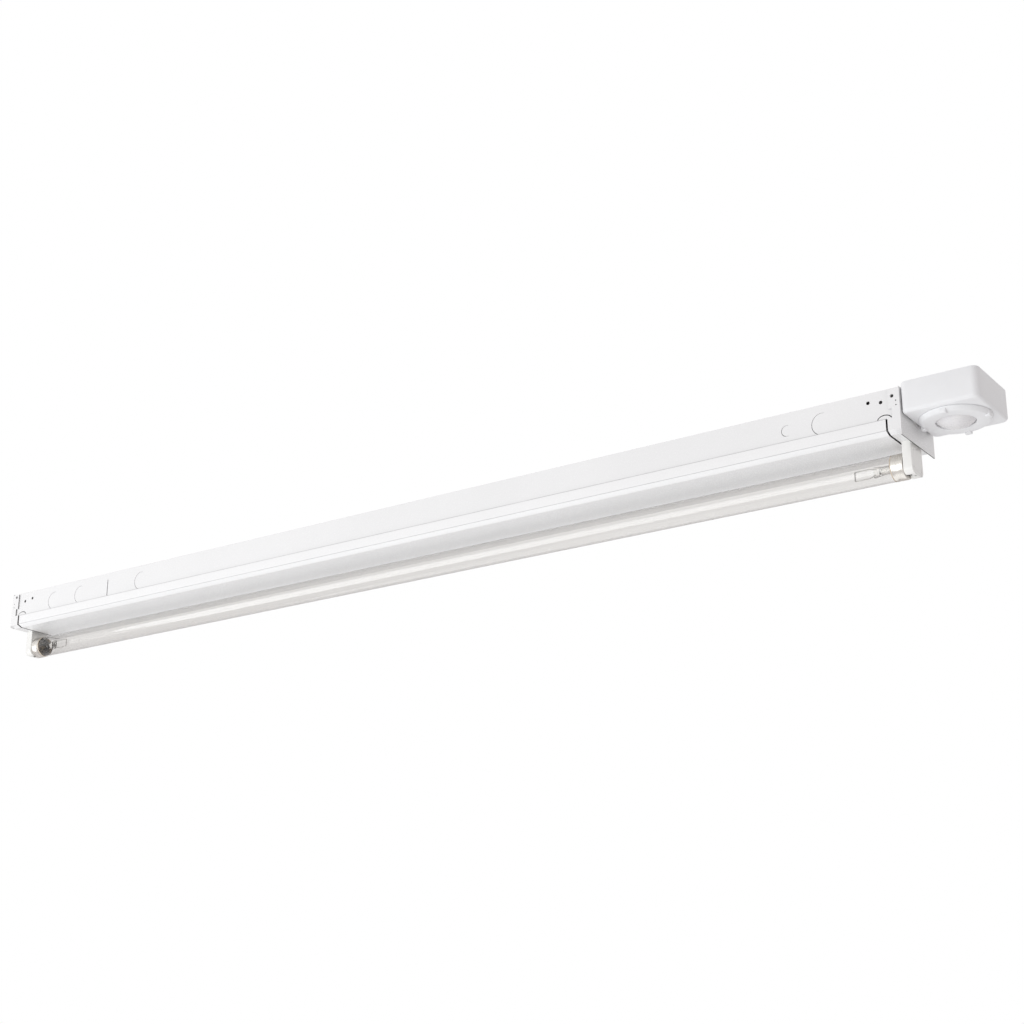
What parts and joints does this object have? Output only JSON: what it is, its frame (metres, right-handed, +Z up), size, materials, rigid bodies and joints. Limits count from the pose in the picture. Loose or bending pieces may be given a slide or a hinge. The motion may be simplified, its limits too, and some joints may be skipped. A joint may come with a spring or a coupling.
{
  "type": "germicidal strip light with occupancy sensor",
  "caption": "Ceiling strip light with a bare clear tube lamp under a folded white channel and cover, and a box occupancy sensor on its end.",
  "frame": {"origin": "centre of the channel's top face, which goes against the ceiling", "axes": "+X along the fixture towards the sensor, -Y to the front, +Z up into the ceiling"},
  "size_m": [1.2995, 0.08, 0.0799],
  "materials": {
    "white_enamel": "semi-gloss white baked enamel",
    "zinc_steel": "bright zinc plate",
    "ground_green": "green zinc plate",
    "holder_white": "glossy moulded plastic",
    "rotor_dark": "matt moulded plastic",
    "contact_brass": "spring brass",
    "clear_glass": "clear tube glass",
    "electrode_wire": "drawn wire",
    "cap_metal": "spun, satin",
    "disc_brown": "pressed phenolic",
    "pin_brass": "turned, plain",
    "ballast_enamel": "white baked enamel",
    "bushing_black": "matt moulded plastic",
    "board_green": "lacquered board",
    "choke_tape": "polyester tape",
    "capacitor_sleeve": "shrunk sleeve",
    "wire_red": "extruded insulation",
    "wire_blue": "extruded insulation",
    "wire_black": "extruded insulation",
    "wire_green": "extruded insulation",
    "connector_orange": "ribbed moulded plastic",
    "sensor_white": "fine satin moulding",
    "lens_white": "translucent moulding",
    "gasket_rubber": "matt",
    "detector_can": "pressed can",
    "relay_black": "moulded case",
    "dial_blue": "moulded",
    "dial_white": "moulded"
  },
  "bodies": {
    "fixture": {"channel_housing": "white_enamel", "end_cap_right": "white_enamel", "end_cap_left": "white_enamel", "end_cap_screws": "zinc_steel", "lampholder_right": "holder_white", "lampholder_left": "holder_white", "contacts_right": "contact_brass", "contacts_left": "contact_brass", "ballast_base": "ballast_enamel", "ballast_case": "ballast_enamel", "ballast_bushings": "bushing_black", "ballast_board": "board_green", "ballast_choke": "choke_tape", "ballast_capacitors": "capacitor_sleeve", "ballast_screws": "zinc_steel", "ground_screw": "ground_green", "ground_lead": "wire_green", "lamp_leads_left": "wire_red", "lamp_leads_right": "wire_blue", "supply_leads": "wire_black", "sensor_leads": "wire_black", "wire_connectors": "connector_orange", "sensor_housing": "sensor_white", "sensor_washer": "gasket_rubber", "nipple_locknut": "zinc_steel", "sensor_back_plate": "sensor_white", "sensor_screws": "zinc_steel", "sensor_board": "board_green", "motion_detector": "detector_can", "sensor_relay": "relay_black", "dial_bases": "dial_blue"},
    "cover": {"channel_cover": "white_enamel"},
    "lamp": {"lamp_glass": "clear_glass", "stem_right": "clear_glass", "electrode_right": "electrode_wire", "lamp_cap_right": "cap_metal", "lamp_disc_right": "disc_brown", "lamp_pins_right": "pin_brass", "stem_left": "clear_glass", "electrode_left": "electrode_wire", "lamp_cap_left": "cap_metal", "lamp_disc_left": "disc_brown", "lamp_pins_left": "pin_brass"},
    "right_rotor": {"rotor_right": "rotor_dark"},
    "left_rotor": {"rotor_left": "rotor_dark"},
    "lens_ring": {"sensor_ring": "sensor_white", "sensor_lens": "lens_white"},
    "time_knob": {"time_dial": "dial_white"},
    "light_knob": {"light_dial": "dial_white"}
  },
  "joints": [
    {"name": "lamp_turn", "type": "hinge", "parent": "fixture", "child": "lamp", "pos_m": [0, 0, -0.0645], "axis": [1, 0, 0], "range_deg": [0, 90]},
    {"name": "right_rotor_turn", "type": "hinge", "parent": "fixture", "child": "right_rotor", "pos_m": [0, 0, -0.0645], "axis": [1, 0, 0], "range_deg": [0, 90]},
    {"name": "left_rotor_turn", "type": "hinge", "parent": "fixture", "child": "left_rotor", "pos_m": [0, 0, -0.0645], "axis": [1, 0, 0], "range_deg": [0, 90]},
    {"name": "cover_drop", "type": "slide", "parent": "fixture", "child": "cover", "axis": [0, 0, -1], "range_m": [0, 0.006]},
    {"name": "lens_twist", "type": "hinge", "parent": "fixture", "child": "lens_ring", "pos_m": [0.65025, -0.0015, 0], "axis": [0, 0, 1], "range_deg": [0, 30]},
    {"name": "time_dial_turn", "type": "hinge", "parent": "fixture", "child": "time_knob", "pos_m": [0.66725, -0.01, 0], "axis": [0, 0, 1], "range_deg": [0, 270]},
    {"name": "light_dial_turn", "type": "hinge", "parent": "fixture", "child": "light_knob", "pos_m": [0.66725, 0.007, 0], "axis": [0, 0, 1], "range_deg": [0, 270]}
  ],
  "couplings": [
    {"joint": "right_rotor_turn", "follows": "lamp_turn", "ratio": 1},
    {"joint": "left_rotor_turn", "follows": "lamp_turn", "ratio": 1}
  ]
}
